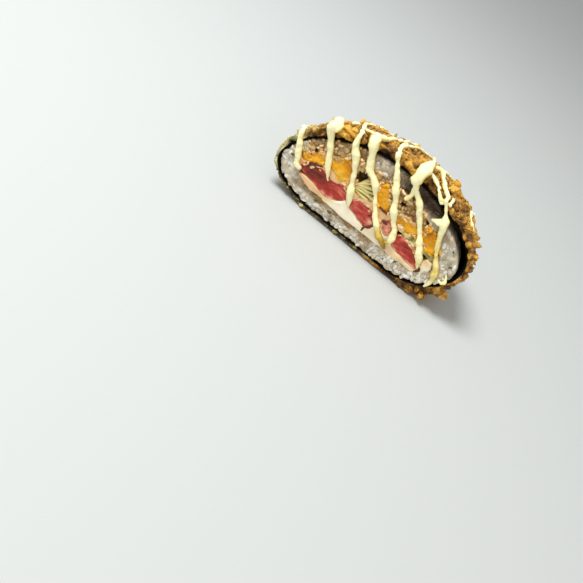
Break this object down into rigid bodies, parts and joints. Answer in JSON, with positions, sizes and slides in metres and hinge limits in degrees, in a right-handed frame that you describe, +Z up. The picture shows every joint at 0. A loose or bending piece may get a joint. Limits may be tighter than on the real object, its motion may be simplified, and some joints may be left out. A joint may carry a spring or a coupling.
{
  "type": "sushi burger half",
  "caption": "Cut half of a fried sushi burger: panko and seaweed round rice, tuna, mango and cream cheese, with mayonnaise strands hanging over the cut.",
  "frame": {"origin": "on the table, in the flat of the crust that the half rests on, under the middle of the half", "axes": "+Z up; the cut face looks along -Y; +X runs to the right along the cut, seen from in front of it"},
  "size_m": [0.1262, 0.0681, 0.0658],
  "materials": {
    "crust": "rough fried crumb",
    "nori": "satin seaweed",
    "rice": "moist, faintly glossy",
    "cream_cheese": "smooth satin",
    "tuna": "wet gloss",
    "mango": "wet gloss",
    "avocado": "satin",
    "shreds": "satin",
    "chilli_mayo": "glossy sauce",
    "crisps": "dry crumb"
  },
  "bodies": {
    "root": {"panko_crust": "crust", "nori_sheet": "nori", "rice_bottom": "rice", "rice_top": "rice", "cream_cheese": "cream_cheese", "tuna_slice_1": "tuna", "tuna_slice_2": "tuna", "tuna_slice_3": "tuna", "tuna_slice_4": "tuna", "mango_piece_1": "mango", "mango_piece_2": "mango", "mango_piece_3": "mango", "mango_piece_4": "mango", "mango_piece_5": "mango", "avocado_slice": "avocado", "green_shreds": "shreds", "chilli_mayo": "chilli_mayo", "crisp_crumbs": "crisps"}
  },
  "joints": []
}
